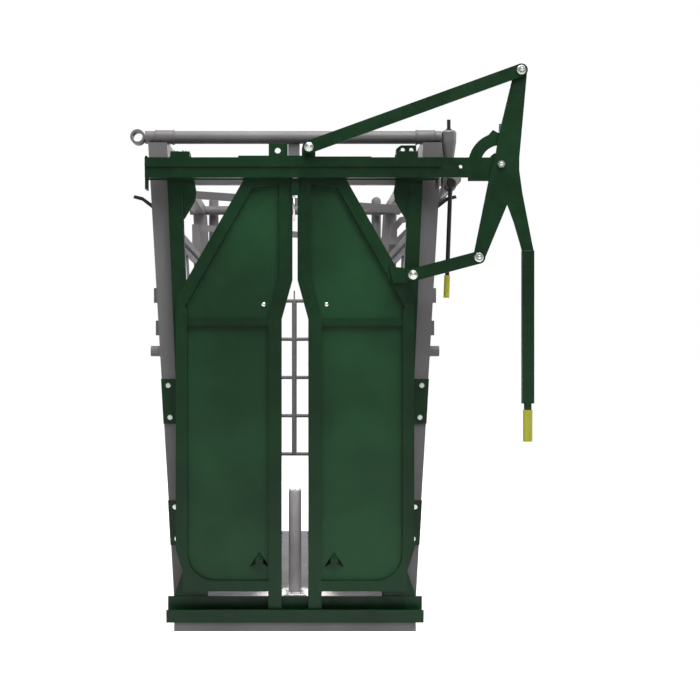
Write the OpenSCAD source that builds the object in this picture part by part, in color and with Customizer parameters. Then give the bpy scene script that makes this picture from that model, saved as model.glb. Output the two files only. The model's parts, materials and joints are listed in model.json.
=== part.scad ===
// Cattle squeeze chute with a sliding double-door head gate, hinged squeeze sides,
// drop-down side gates and a side-hinged tailgate. Millimetres, +Z up, head gate at -Y.
// The origin is on the ground, midway between the doors and midway along the chute.

/* [Chute] */
// Length over the corner posts
chute_length = 2300; // [1900:10:2800]
// Height of the head gate's beam, to its top edge
beam_top = 1874; // [1550:1:2250]
// Half the distance between the corner posts' centre lines, at the ground
post_foot = 445; // [370:1:540]
// Outward lean of the corner posts, in mm per mm of height
post_lean = 0.0572; // [0.04:0.0001:0.07]
// Side of the square corner posts
post_w = 76; // [60:1:92]
// Wall of the square tubes
wall = 5; // [3:0.5:8]
// Height of the deck's top face
deck_z = 78; // [65:1:94]
// Diameter of the front and rear top tubes
top_tube_d = 52; // [42:1:63]

/* [Head gate] */
// Width of the neck gap with the doors shut
neck_gap = 106; // [86:1:128]
// Gap between the doors above the neck gap
slot_gap = 20; // [16:1:40]
// Half the width over the two shut doors
door_half = 474; // [400:1:500]
// Depth of the door tubes, front to back
door_t = 38; // [30:1:46]
// Face width of the door tubes
door_tube = 46; // [38:1:56]
// Face width of the neck bars
neck_bar = 53; // [44:1:64]
// Height of the beam's face
beam_h = 79; // [66:1:95]
// Half the length of the beam
beam_half = 577; // [560:1:620]
// Height of the top of the neck gap's straight part
neck_top = 1237; // [1000:1:1300]
// Thickness of the plates and links
plate_t = 10; // [8:0.5:12]

/* [Linkage] */
// Lever pivot to each link pin
lever_arm = 378; // [315:1:400]
// Lever pivot's distance from the centre of the gate
pivot_x = 812; // [790:1:900]
// Radius of the linkage bolts
link_bolt_r = 8; // [6:0.5:10]
// Width of the two link bars
link_w = 50; // [42:1:60]
// Length of the straight lower part of the hand lever
handle_len = 600; // [500:1:720]

/* [Squeeze sides] */
// Radius of the squeeze cranks
crank_r = 100; // [84:1:110]
// Diameter of the squeeze shaft
shaft_d = 34; // [28:1:40]
// Side of the side frames' square tubes
side_tube = 38; // [32:1:44]
// Length of the side frames, hinge to top edge
side_h = 1560; // [1300:1:1590]
// Height of the side gates' opening
side_open = 842; // [702:1:1000]
// Diameter of the side gates' bars
bar_d = 26; // [20:1:30]

/* [Tailgate] */
// Half the distance between the tailgate's posts
leaf_post_x = 480; // [420:1:520]
// Height of the tailgate's barred part
leaf_top = 1438; // [1200:1:1500]
// Diameter of the tailgate's bars
leaf_bar_d = 21; // [16:1:27]

/* [Hidden] */

round_fn = 32;
gap = 0.3;            // between parts that move on each other
run = 0.05;           // radial clearance of a shaft in its bore
green = "#284B30";
grey = "#767474";
zinc = "#B9BBB6";
black = "#1B1D1B";
lime = "#ACB632";

// Lengthwise places
front = -chute_length / 2;              // front face of the front posts
rear = chute_length / 2;
post_y0 = front + post_w;               // rear face of the front posts
gpost_t = 42;                           // depth of the head gate's own posts
rail_t = 8;
rail_y1 = front - gpost_t;              // rear rail's back face
rail_y0 = rail_y1 - rail_t;
door_y1 = rail_y0 - 4;                  // doors' back face
door_y0 = door_y1 - door_t;             // doors' front face
bar_t = (door_t - 4) / 2;               // each door's top bar
flange_d = 18;                          // track flange inside the beam
beam_y1 = door_y0 - 2 - flange_d;       // back of the beam's face plate
beam_y0 = beam_y1 - rail_t;
lever_y1 = beam_y0 - 4;                 // lever plate's back face
lever_y0 = lever_y1 - plate_t;
link_y1 = lever_y0 - 4;
link_y0 = link_y1 - plate_t;

// Heights
beam_low = beam_top - beam_h;
flange_t = 8;
door_top = beam_low + 5;                // top of the door tubes
bar_top = beam_top + 12;                // top edge of the door bars
door_low = 154;                         // bottom edge of the doors
sill_t = 35;
trough_t = 6;
trough_back = 127;
lip_top = 85;
foot_low = sill_t + trough_t + 3;
tube_z = beam_top + 107;                // axis of the front top tube
post_top = tube_z - top_tube_d / 2;     // top of the front posts, where the tube rests
rear_tube_z = beam_top + 80;            // axis of the rear top tube
rail_z = rear_tube_z - top_tube_d / 2;  // top of the rear posts, where the side rails rest
pivot_z = beam_top - 30;

// Centre line of a grey corner post and of a green gate post at a height
function px(z) = post_foot + post_lean * z;
gpost_foot = post_foot - 36;
gpost_lean = 0.0418;
gpost_w = 57;
function gx(z) = gpost_foot + gpost_lean * z;
lean_deg = atan(post_lean);

// Linkage pins, across and up
up_pin = [lever_arm * cos(78.1), lever_arm * sin(78.1)];
down_pin = [lever_arm * cos(-103.6), lever_arm * sin(-103.6)];
tab_pin = [54, beam_top + 37];
shoulder_pin = [464, beam_top - 466];
top_pin = [pivot_x + up_pin[0], pivot_z + up_pin[1]];
low_pin = [pivot_x + down_pin[0], pivot_z + down_pin[1]];

// Squeeze gear
shaft = [640, beam_top - 74];
crank_a = 45;
crank_y = 700;
crank_t = 10;
hinge_z = 110;
hinge_x = px(hinge_z);
side_pin_z = beam_top - 64 - hinge_z;   // link pin's height on the side frame
side_pin = [hinge_x + side_pin_z * sin(lean_deg), hinge_z + side_pin_z * cos(lean_deg)];
up_crank = [shaft[0] + crank_r * cos(crank_a), shaft[1] + crank_r * sin(crank_a)];
down_crank = [shaft[0] - crank_r * cos(crank_a), shaft[1] - crank_r * sin(crank_a)];
hinge_inset = 350;                      // end hinges, from the chute's ends
hinge_ys = [front + hinge_inset, 0, rear - hinge_inset];
side_end = post_y0 + 6;                 // front end of a side frame
mid_z = side_h - side_open;             // top of the side frame's middle rail

// Places a child at +X and at its mirror image
module on_side(s) { if (s > 0) children(); else mirror([1, 0, 0]) children(); }
module bar_y(x, z, y0, y1, d) {
    translate([x, y0, z]) rotate([-90, 0, 0]) cylinder(d = d, h = y1 - y0, $fn = round_fn);
}
module bar_x(x0, x1, y, z, d) {
    translate([x0, y, z]) rotate([0, 90, 0]) cylinder(d = d, h = x1 - x0, $fn = round_fn);
}
module bar_z(x, y, z0, z1, d) {
    translate([x, y, z0]) cylinder(d = d, h = z1 - z0, $fn = round_fn);
}
module box(a, b) { translate(a) cube(b - a); }
// Hexagonal head whose back is at y, standing towards the front
module hex_head(x, z, y, r, h) {
    translate([x, y, z]) rotate([90, 0, 0]) cylinder(r = r, h = h, $fn = 6);
}
// Square tube standing along Z, open at its ends
module tube_box(a, b, axis) {
    w = [axis == 0 ? -1 : wall, axis == 1 ? -1 : wall, axis == 2 ? -1 : wall];
    difference() { box(a, b); box(a + w, b - w); }
}
// Plate in the X-Z plane from an outline
module plate(y0, y1) { translate([0, y1, 0]) rotate([90, 0, 0]) linear_extrude(y1 - y0) children(); }
// Flat bar with round ends between two pins, with a bore at b, or at both ends
module link(a, b, y0, y1, w, r, both = false) {
    l = norm(b - a);
    translate([a[0], 0, a[1]]) rotate([0, -atan2(b[1] - a[1], b[0] - a[0]), 0]) plate(y0, y1)
    difference() {
        union() {
            translate([0, -w / 2]) square([l, w]);
            circle(d = w, $fn = round_fn);
            translate([l, 0]) circle(d = w, $fn = round_fn);
        }
        if (both) circle(r = r, $fn = round_fn);
        if (r > 0) translate([l, 0]) circle(r = r, $fn = round_fn);
    }
}

// ---- Base ----
cross_ys = [front + post_w / 2, 0, rear - post_w / 2];
rail_h = deck_z - 5;
anchor_r = 9;
anchor_x = 300;
sill_half = 478;
module base_frame() {
    color(grey) difference() {
        union() {
            for (s = [-1, 1]) on_side(s)
                box([post_foot - post_w / 2, post_y0, 0], [post_foot + post_w / 2, rear - post_w,
                    rail_h]);
            for (y = cross_ys)
                box([-post_foot + post_w / 2, y - 30, 0], [post_foot - post_w / 2, y + 30, rail_h]);
            box([-sill_half, beam_y0 + 6, 0], [sill_half, front, sill_t]);
            box([-sill_half + 110, front, 0], [sill_half - 110, front + post_w / 2, sill_t]);
            for (s = [-1, 1], y = hinge_ys, d = [-36, 26]) on_side(s)
                box([hinge_x - 18, y + d, rail_h], [hinge_x + 18, y + d + 10, hinge_z + 18]);
        }
        for (s = [-1, 1]) on_side(s)
            box([post_foot - post_w / 2 + wall, post_y0 - 1, wall],
                [post_foot + post_w / 2 - wall, rear, rail_h - wall]);
        for (s = [-1, 1], y = hinge_ys) on_side(s) bar_y(hinge_x, hinge_z, y - 37, y + 37, 20);
        for (x = [-anchor_x, anchor_x], y = [cross_ys[0], cross_ys[2]]) bar_z(x, y, -1,
            deck_z, 2 * anchor_r);
    }
}
module hinge_pins() {
    color(zinc) {
        for (s = [-1, 1], y = hinge_ys) on_side(s) {
            bar_y(hinge_x, hinge_z, y - 38, y + 44, 20 - 2 * run);
            bar_y(hinge_x, hinge_z, y - 46, y - 38, 30);
        }
        for (z = leaf_hinge_zs) {
            bar_z(leaf_hinge_x, leaf_y, z - 38, z + 38, leaf_pin_d - 2 * run);
            bar_z(leaf_hinge_x, leaf_y, z + 38, z + 44, leaf_pin_d + 8);
        }
    }
}
deck_half = post_foot - post_w / 2 - 2;
treads = 12;
tread_x0 = 70;                          // half of the plain strip down the middle
tread_y0 = post_y0 + 260;
tread_step = (rear - post_w - 100 - tread_y0) / (treads - 1);
module floor_deck() {
    color(grey) difference() {
        union() {
            box([-deck_half, post_y0 + 2, rail_h], [deck_half, rear - post_w - 2, deck_z]);
            for (i = [0 : treads - 1])
                for (s = [-1, 1]) on_side(s) box([tread_x0, tread_y0 + i * tread_step, deck_z],
                    [deck_half - 40, tread_y0 + i * tread_step + 12, deck_z + 6]);
        }
        for (x = [-30, 30], y = [-30, 30]) bar_z(x, brisket_y + y, 0, deck_z + 9, 10);
    }
}

// ---- Corner posts ----
module post_bar(y0, y1, top) {
    plate(y0, y1) polygon([[px(0) - post_w / 2, 0], [px(0) + post_w / 2, 0],
        [px(top) + post_w / 2, top], [px(top) - post_w / 2, top]]);
}
module post_core(y0, y1, top) {
    plate(y0 + wall, y1 - wall) polygon([[px(12) - post_w / 2 + wall, 12],
        [px(12) + post_w / 2 - wall, 12], [px(top + 1) + post_w / 2 - wall, top + 1],
        [px(top + 1) - post_w / 2 + wall, top + 1]]);
}
stub_z = beam_top - 764;
module front_post() {
    color(grey) {
        difference() {
            union() {
                post_bar(front, post_y0, post_top);
                bar_x(px(stub_z) + 20, px(stub_z) + post_w / 2 + 40, front + post_w / 2, stub_z, 43);
            }
            post_core(front, post_y0, post_top);
            bar_x(px(stub_z) + 15, px(stub_z) + post_w / 2 + 60, front + post_w / 2, stub_z, 33);
        }
        for (z = [beam_top - 538, beam_top - 670])
            box([px(z) + post_w / 2 - 3, front + 20, z - 30], [px(z) + post_w / 2 + 14, front + 28,
                z + 30]);
    }
}
module rear_post() {
    color(grey) difference() {
        post_bar(rear - post_w, rear, rail_z);
        post_core(rear - post_w, rear, rail_z);
    }
}

// ---- Overhead tubes ----
tube_half = 610;
collar_in = 64;                         // collars' inner ends, from the posts' centre lines
module top_tube() {
    color(grey) difference() {
        union() {
            bar_x(-tube_half, tube_half - 14, front + post_w / 2, tube_z, top_tube_d);
            for (s = [-1, 1]) on_side(s) bar_x(px(tube_z) - collar_in, px(tube_z) - collar_in + 72,
                front + post_w / 2, tube_z, top_tube_d + 7);
        }
        bar_x(-tube_half - 1, tube_half, front + post_w / 2, tube_z, top_tube_d - 2 * wall);
        box([-700, front - 20, 0], [700, post_y0 + 20, post_top]);
    }
}
ring_r = 20.5;
ring_or = 29.5;
module ring_sleeve() {
    color(grey) difference() {
        bar_y(-tube_half - ring_or, tube_z, front + post_w / 2 - 25,
            front + post_w / 2 + 25, 2 * ring_or);
        bar_y(-tube_half - ring_or, tube_z, front, post_y0, 2 * ring_r);
    }
}
sleeve_x = tube_half - 14 + 31;
module drop_sleeve() {
    color(grey) translate([sleeve_x, front + post_w / 2, 0]) difference() {
        rotate_extrude($fn = round_fn) polygon([[0, beam_top + 2], [18, beam_top + 2], [30, tube_z - 20],
            [31, tube_z + 18], [26, tube_z + 26], [0, tube_z + 26]]);
        cylinder(r = 8, h = tube_z * 2, $fn = round_fn);
    }
}
module drop_pin() {
    color(black) {
        bar_z(sleeve_x, front + post_w / 2, beam_top - 60, tube_z + 72, 15);
        bar_z(sleeve_x, front + post_w / 2, tube_z + 26.2, tube_z + 34, 24);
    }
}
top_rail_h = 50;
module top_rail() {
    color(grey) difference() {
        box([px(rail_z) - 30, post_y0, rail_z], [px(rail_z) + 30, rear - post_w + 7,
            rail_z + top_rail_h]);
        box([px(rail_z) - 30 + wall, front, rail_z + wall],
            [px(rail_z) + 30 - wall, rear, rail_z + top_rail_h - wall]);
    }
}
module rear_cross_tube() {
    z = rear_tube_z;
    color(grey) difference() {
        bar_x(-tube_half, tube_half, rear - post_w / 2, z, top_tube_d);
        bar_x(-tube_half - 1, tube_half + 1, rear - post_w / 2, z, top_tube_d - 2 * wall);
        box([-700, rear - post_w - 20, 0], [700, rear + 20, rail_z]);
    }
    x = px(z);
    color(grey) for (s = [-1, 1]) on_side(s) plate(rear - post_w / 2 - 4, rear - post_w / 2 + 4)
        polygon([[x + 6, z + 12], [x + 6, z + 26], [x + 30, z + 52], [x + 40, z + 78],
            [x + 46, z + 78], [x + 46, z + 12]]);
}
cross_z = beam_top - 86;
cross_h = 26;
module front_cross_tube() {
    x = px(cross_z) - post_w / 2 - 0.5;
    color(grey) {
        tube_box([-x, front + 20, cross_z], [x, front + 56, cross_z + cross_h], 0);
        box([-28, front + 34, cross_z + cross_h], [19, front + 42, post_top]);
    }
}
bearing_ys = [post_y0 + 62, -crank_y + 120, crank_y - 120];
module shaft_bearings() {
    color(grey) for (y = bearing_ys) difference() {
        union() {
            bar_y(shaft[0], shaft[1], y - 20, y + 20, shaft_d + 24);
            plate(y - 6, y + 6) polygon([[px(rail_z) + 30, rail_z + 4], [px(rail_z) + 30, rail_z + 44],
                [px(rail_z) + 50, rail_z + 44], [shaft[0] + 24, shaft[1]], [shaft[0] - 24, shaft[1]]]);
        }
        bar_y(shaft[0], shaft[1], y - 21, y + 21, shaft_d + 2 * run);
    }
}

// ---- Head gate frame ----
fold_h = 37;                            // height of the beam's proud upper face
beam_left = beam_half + 17;             // the beam's plain end stands out further
module gate_beam() {
    color(green) {
        box([-beam_left, beam_y0, beam_low], [beam_half, beam_y1, beam_top]);
        box([-beam_left, beam_y0 - 5, beam_top - fold_h], [beam_half, beam_y0, beam_top]);
        box([-beam_left + 8, beam_y1, beam_low], [beam_half, beam_y1 + flange_d, beam_low + flange_t]);
        box([-beam_left, beam_y1, beam_low - 44], [-beam_left + 8, rail_y0, beam_top + 8]);
    }
}
module gate_rear_rail() {
    color(green) box([-beam_left, rail_y0, beam_low], [beam_half, rail_y1, beam_top]);
}
quad_in = 79;
quad_out = 128;
module lever_mount() {
    color(green) plate(beam_y0, beam_y0 + plate_t) difference() {
        union() {
            translate([beam_half, beam_low]) square([pivot_x - beam_half, beam_top - beam_low]);
            translate([684, beam_low - 14]) square([pivot_x - 684, 40]);
            translate([pivot_x, pivot_z]) circle(r = 52, $fn = 48);
            intersection() {
                translate([pivot_x, pivot_z]) difference() {
                    circle(r = quad_out, $fn = 96);
                    circle(r = quad_in, $fn = 96);
                }
                translate([pivot_x, pivot_z]) polygon([[-200, 24], [-60, 20], [20, 60], [36, 190],
                    [-42, 190]]);
            }
            translate([pivot_x, pivot_z]) polygon([[-30, 139], [-52, 114], [-20, 100], [-8, 126]]);
        }
        translate([pivot_x, pivot_z]) circle(r = link_bolt_r + run, $fn = round_fn);
        translate([655, beam_top - 36]) circle(r = 7, $fn = round_fn);
    }
}
module lever_pivot_bolt() {
    color(zinc) {
        bar_y(pivot_x, pivot_z, lever_y0 - 3, beam_y0 + plate_t + 3, 2 * link_bolt_r);
        for (y = [lever_y0 - 3, beam_y0 + plate_t + 11]) hex_head(pivot_x, pivot_z, y, 15, 8);
    }
}
module gate_post() {
    low = trough_back - 60;
    foot = 235;
    gus = beam_low - 150;
    color(green) {
        difference() {
            plate(rail_y1, front) polygon([[gx(low) - gpost_w / 2, low], [gx(low) + gpost_w / 2, low],
                [gx(beam_top) + gpost_w / 2, beam_top], [gx(beam_top) - gpost_w / 2, beam_top]]);
            plate(rail_y1 + 8 + wall, front - wall) polygon([[gx(low) - gpost_w / 2 + wall, low - 1],
                [gx(low) + gpost_w / 2 - wall, low - 1], [gx(beam_top) + gpost_w / 2 - wall,
                    beam_top + 1],
                [gx(beam_top) - gpost_w / 2 + wall, beam_top + 1]]);
        }
        plate(rail_y1, rail_y1 + 6) polygon([[gx(beam_low) - gpost_w / 2 - 52, beam_low],
            [gx(beam_low) - gpost_w / 2 - 60, beam_low - 46], [gx(beam_low) - gpost_w / 2 - 54,
                beam_low - 86],
            [gx(gus) - gpost_w / 2 - 6, gus - 6], [gx(gus) - gpost_w / 2 + 1, gus],
                [gx(beam_low) - gpost_w / 2 + 1, beam_low]]);
        plate(rail_y1, rail_y1 + 8) polygon([[gx(low) - gpost_w / 2 - 34, low],
            [gx(low) + gpost_w / 2 + 44, low],
            [gx(low) + gpost_w / 2 + 40, trough_back + 16], [gx(foot) + gpost_w / 2 - 1, foot],
            [gx(foot) - gpost_w / 2 + 1, foot], [gx(low) - gpost_w / 2 - 34, trough_back + 20]]);
    }
}
trough_half = 509;
module foot_trough() {
    y0 = beam_y0 + 2;
    color(green) translate([-trough_half, 0, 0]) rotate([90, 0, 90]) linear_extrude(2 * trough_half)
        polygon([[y0, sill_t], [rail_y1, sill_t], [rail_y1, trough_back], [rail_y1 - trough_t,
            trough_back],
            [rail_y1 - trough_t, sill_t + trough_t], [y0 + trough_t, sill_t + trough_t],
            [y0 + trough_t, lip_top], [y0, lip_top]]);
}
bracket_h = 181;
bracket_zs = [beam_top - 1058, beam_top - 1549];
module side_brackets() {
    color(green) for (s = [-1, 1], z = bracket_zs) on_side(s) plate(front - 6, front) difference() {
        polygon([[gx(z) + gpost_w / 2 + 1, z], [px(z) + post_w / 2 + 2, z],
            [px(z + bracket_h) + post_w / 2 + 2, z + bracket_h], [gx(z + bracket_h) + gpost_w / 2 + 1,
                z + bracket_h]]);
        for (d = [26, bracket_h - 26]) translate([px(z + d) + 12, z + d]) circle(r = 6.5, $fn = round_fn);
    }
}
module bracket_bolts() {
    color(zinc) for (s = [-1, 1], z = bracket_zs, d = [26, bracket_h - 26]) on_side(s)
        translate([px(z + d) + 12, front - 6, z + d]) rotate([90, 0, 0]) {
            cylinder(r = 10, h = 3, $fn = round_fn);
            translate([0, 0, 3]) cylinder(r = 8.5, h = 7, $fn = 6);
        }
}
bridge_z = bar_top + 4;
module bridge(x0, x1, up) {
    difference() {
        union() {
            box([x0, beam_y0, bridge_z], [x1, rail_y1, bridge_z + 8]);
            box([x0, beam_y0, beam_top], [x1, beam_y1, bridge_z]);
            box([x0, rail_y0, beam_top], [x1, rail_y1, bridge_z]);
            if (up > 0) plate(rail_y0, rail_y1) polygon([[x0, bridge_z + 8], [x1, bridge_z + 8],
                [x1, bridge_z + up], [x0 + 24, bridge_z + up], [x0 + 6, bridge_z + up - 14]]);
        }
        if (up > 0) for (x = [x0 + 32, x1 - 20]) bar_y(x, bridge_z + 26, rail_y0 - 1, rail_y1 + 1, 16);
    }
}
module beam_bridges() {
    color(green) { bridge(-493, -416, 0); bridge(400, 486, 44); }
    color(zinc) for (x = [-474, -440]) translate([x, (beam_y0 + rail_y1) / 2, bridge_z + 8])
        cylinder(r = 10, h = 8, $fn = 6);
}

// ---- Doors, drawn for the +X side ----
sh_top = [199, door_top];               // shoulder tube's outer corner at the top
sh_low = [door_half - 4, beam_top - 551];
sh_dir = (sh_low - sh_top) / norm(sh_low - sh_top);
sh_in = [sh_dir[1], -sh_dir[0]];        // towards the inside of the door
slant_top = neck_top + 156;
module door_outline() {
    polygon([[slot_gap / 2, door_top], sh_top, sh_low, [door_half, sh_low[1] - 60],
        [door_half, door_low + 168], [door_half - 28, door_low + 80], [door_half - 28, door_low],
        [neck_gap / 2, door_low], [neck_gap / 2, neck_top], [slot_gap / 2, slant_top]]);
}
corner_r = 110;
module door_window() {
    o = door_half - door_tube;
    b = door_low + 41;
    n = neck_gap / 2 + neck_bar;
    u = slot_gap / 2 + neck_bar;
    polygon(concat([[u, door_top - 30], sh_top + sh_in * door_tube + sh_dir * 22,
        sh_low + sh_in * door_tube + sh_dir * 14, [o, sh_low[1] - 50]],
        [for (a = [0 : 15 : 90]) [o - corner_r + corner_r * cos(a), b + corner_r - corner_r * sin(a)]],
        [[n, b], [n, neck_top + 10], [u, slant_top + 10]]));
}
rib_z = neck_top - 27;
module door_frame() {
    n = neck_gap / 2;
    color(green) {
        plate(door_y0, door_y1) difference() { door_outline(); door_window(); }
        plate(door_y0 + 6, door_y0 + 19.5) translate([n + neck_bar, rib_z])
            square([door_half - door_tube - n - neck_bar, 28]);
        box([n, door_y0, foot_low], [n + neck_bar, door_y1, door_low]);
    }
}
module door_sheet() {
    color(green) plate(door_y0 + 20, door_y0 + 24) offset(delta = -0.2) door_window();
}
module left_door_frame() { mirror([1, 0, 0]) door_frame(); }
module right_door_frame() {
    door_frame();
    a = shoulder_pin;
    color(green) difference() {
        plate(door_y0 - plate_t, door_y0) polygon([[a[0] - 90, a[1] + 38], [a[0] + 4, a[1] + 26],
            [a[0] + 27, a[1] + 6], [a[0] + 25, a[1] - 14], [a[0] + 4, a[1] - 28], [a[0] - 74,
                a[1] - 30]]);
        bar_y(a[0], a[1], door_y0 - 40, door_y1, 2 * link_bolt_r + 0.4);
    }
}
module left_door_sheet() { mirror([1, 0, 0]) door_sheet(); }
module right_door_sheet() { door_sheet(); }
module left_door_bar() {
    color(green) plate(door_y0, door_y0 + bar_t) difference() {
        union() {
            translate([-226, door_top]) square([226 + tab_pin[0] + 27, bar_top - door_top]);
            translate([tab_pin[0] - 27, bar_top]) square([54, tab_pin[1] - bar_top]);
            translate(tab_pin) circle(r = 27, $fn = round_fn);
        }
        translate(tab_pin) circle(r = link_bolt_r + 0.2, $fn = round_fn);
    }
}
module right_door_bar() {
    color(green) plate(door_y1 - bar_t, door_y1) difference() {
        union() {
            translate([-105, door_top]) square([105 + 305, bar_top - door_top]);
            translate([-105, bar_top]) square([76, 52]);
        }
        translate([-69, bar_top + 24]) circle(r = 12, $fn = round_fn);
    }
}
shoe_z = beam_low + flange_t + gap;
module shoe(x, y1) { box([x - 30, beam_y1 + 2, shoe_z], [x + 30, y1, shoe_z + 44]); }
module foot_shoe(s) {
    n = neck_gap / 2;
    on_side(s) difference() {
        box([n - 8, beam_y0 + 2 + trough_t + 3, sill_t + trough_t + gap],
            [n + neck_bar + 8, rail_y1 - trough_t - 3, lip_top - 6]);
        box([n - 0.1, door_y0 - 0.1, foot_low - 0.1], [n + neck_bar + 0.1, door_y1 + 0.1, 200]);
    }
}
module left_door_shoes() { color(black) { for (x = [-190, -100]) shoe(x, door_y0); foot_shoe(-1); } }
module right_door_shoes() { color(black) { for (x = [116, 207]) shoe(x,
    door_y1 - bar_t); foot_shoe(1); } }

// ---- Hand lever and links ----
module lever_plate() {
    color(green) translate([pivot_x, 0, pivot_z]) difference() {
        union() {
            plate(lever_y0, lever_y1) polygon([up_pin + [25.5, 5], [72, 26], [72, -24], [84, -112],
                [123, -313], [129, -342], [83, -342], [77, -318], [50, -226], [25, -157],
                down_pin + [22, -11], down_pin + [-23, -9], [-50, -69], [-22, 38], [-10, 113],
                up_pin + [-24, 9]]);
            bar_y(up_pin[0], up_pin[1], lever_y0, lever_y1, 52);
            bar_y(down_pin[0], down_pin[1], lever_y0, lever_y1, 50);
        }
        for (p = [[0, 0], up_pin, down_pin])
            bar_y(p[0], p[1], lever_y0 - 1, lever_y1 + 1, 2 * (link_bolt_r + run));
        bar_y(keeper_at[0], keeper_at[1], lever_y0 - 1, lever_y1 + 1, 12);
    }
}
lever_mid = (lever_y0 + lever_y1) / 2;
handle_x = pivot_x + 106;
handle_top = pivot_z - 342;
module hand_lever() {
    z1 = handle_top - handle_len;
    color(green) difference() {
        box([handle_x - 23, lever_mid - 16, z1], [handle_x + 23, lever_mid + 16, handle_top]);
        box([handle_x - 23 + wall, lever_mid - 16 + wall, z1 + wall],
            [handle_x + 23 - wall, lever_mid + 16 - wall, handle_top + 1]);
    }
    color(black) bar_z(handle_x, lever_mid, z1 - 145, z1, 30);
}
module lever_grip() {
    z1 = handle_top - handle_len;
    color(lime) difference() {
        bar_z(handle_x, lever_mid, z1 - 150, z1 - 25, 37);
        bar_z(handle_x, lever_mid, z1 - 145, z1, 30);
    }
}
keeper_at = [150 * cos(84), 150 * sin(84)];
module lock_keeper() {
    y0 = beam_y0 + plate_t + 2;
    color(green) translate([pivot_x, 0, pivot_z]) {
        bar_y(keeper_at[0], keeper_at[1], lever_y0, y0, 12);
        plate(y0, y0 + 8) translate(keeper_at) rotate(84 - 90) polygon([[-20, 14], [20, 14],
            [16, -60], [-16, -60]]);
    }
}
module link_bolts() {
    color(zinc) for (p = [top_pin, low_pin]) {
        bar_y(p[0], p[1], link_y0 - 2, lever_y1 + 2, 2 * link_bolt_r);
        hex_head(p[0], p[1], link_y0 - 2, 15, 8);
        bar_y(p[0], p[1], lever_y1 + 2, lever_y1 + 3, 30);
    }
}
module long_link() {
    color(green) link(tab_pin, top_pin, link_y0, link_y1, link_w, link_bolt_r + run);
    color(zinc) {
        bar_y(tab_pin[0], tab_pin[1], link_y0 - 2, link_y0, 2 * link_bolt_r);
        bar_y(tab_pin[0], tab_pin[1], link_y1, door_y0 - 2, 26);
        hex_head(tab_pin[0], tab_pin[1], link_y0 - 2, 15, 8);
    }
}
module short_link() {
    color(green) link(shoulder_pin, low_pin, link_y0, link_y1, link_w, link_bolt_r + run);
    color(zinc) {
        bar_y(shoulder_pin[0], shoulder_pin[1], link_y0 - 2, link_y0, 2 * link_bolt_r);
        bar_y(shoulder_pin[0], shoulder_pin[1], link_y1, door_y0 - plate_t - 2, 26);
        hex_head(shoulder_pin[0], shoulder_pin[1], link_y0 - 2, 15, 8);
    }
}

// ---- Squeeze gear ----
sq_y = post_y0 + 10;                    // plane of the squeeze handle
cross_dy = -24;                         // planes of the side links, from the crank's
push_dy = 27;
elbow = shaft + [-50, 55];              // the push links are cranked to clear the shaft
module crank(y) {
    link(up_crank, down_crank, y, y + crank_t, 44, 0);
    bar_y(shaft[0], shaft[1], y - 12, y + crank_t + 12, shaft_d + 20);
    bar_y(down_crank[0], down_crank[1], y - 26, y + 2, 20);
    bar_y(up_crank[0], up_crank[1], y + crank_t - 2, y + push_dy + 13, 20);
}
module squeeze_shaft() {
    color(grey) {
        bar_y(shaft[0], shaft[1], sq_y + 16, crank_y + 60, shaft_d);
        for (y = [-crank_y, crank_y]) crank(y);
    }
}
sq_low = [623, beam_top - 544];
sq_dir = (sq_low - shaft) / norm(sq_low - shaft);
sq_len = norm(sq_low - shaft);
module squeeze_rod_axis(from, to, d) {
    translate([shaft[0], sq_y, shaft[1]]) rotate([0, 90 + atan2(-sq_dir[1], sq_dir[0]), 0])
        translate([0, 0, from]) cylinder(d = d, h = to - from, $fn = round_fn);
}
module squeeze_handle() {
    color(black) {
        bar_y(shaft[0], shaft[1], sq_y - 16, sq_y + 16, 40);
        squeeze_rod_axis(15, sq_len - 5, 18);
    }
}
module squeeze_grip() {
    color(lime) difference() {
        squeeze_rod_axis(sq_len - 92, sq_len, 24);
        squeeze_rod_axis(0, sq_len - 5, 18);
    }
}
// A link bar with its own pin fixed in its side end; the crank's pin turns in the other
module side_link(a, b, c, dy) {
    color(grey) for (y = [-crank_y, crank_y]) {
        link(b, c, y + dy, y + dy + 11, 34, 10 + run);
        if (a != b) link(a, b, y + dy, y + dy + 11, 34, 0);
        bar_y(a[0], a[1], y + dy - 1.5, y + dy + 12, 24);
    }
}
cross_end = [-side_pin[0], side_pin[1]];
module cross_links() { side_link(cross_end, cross_end, down_crank, cross_dy); }
module push_links() { side_link(side_pin, elbow, up_crank, push_dy); }

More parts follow.
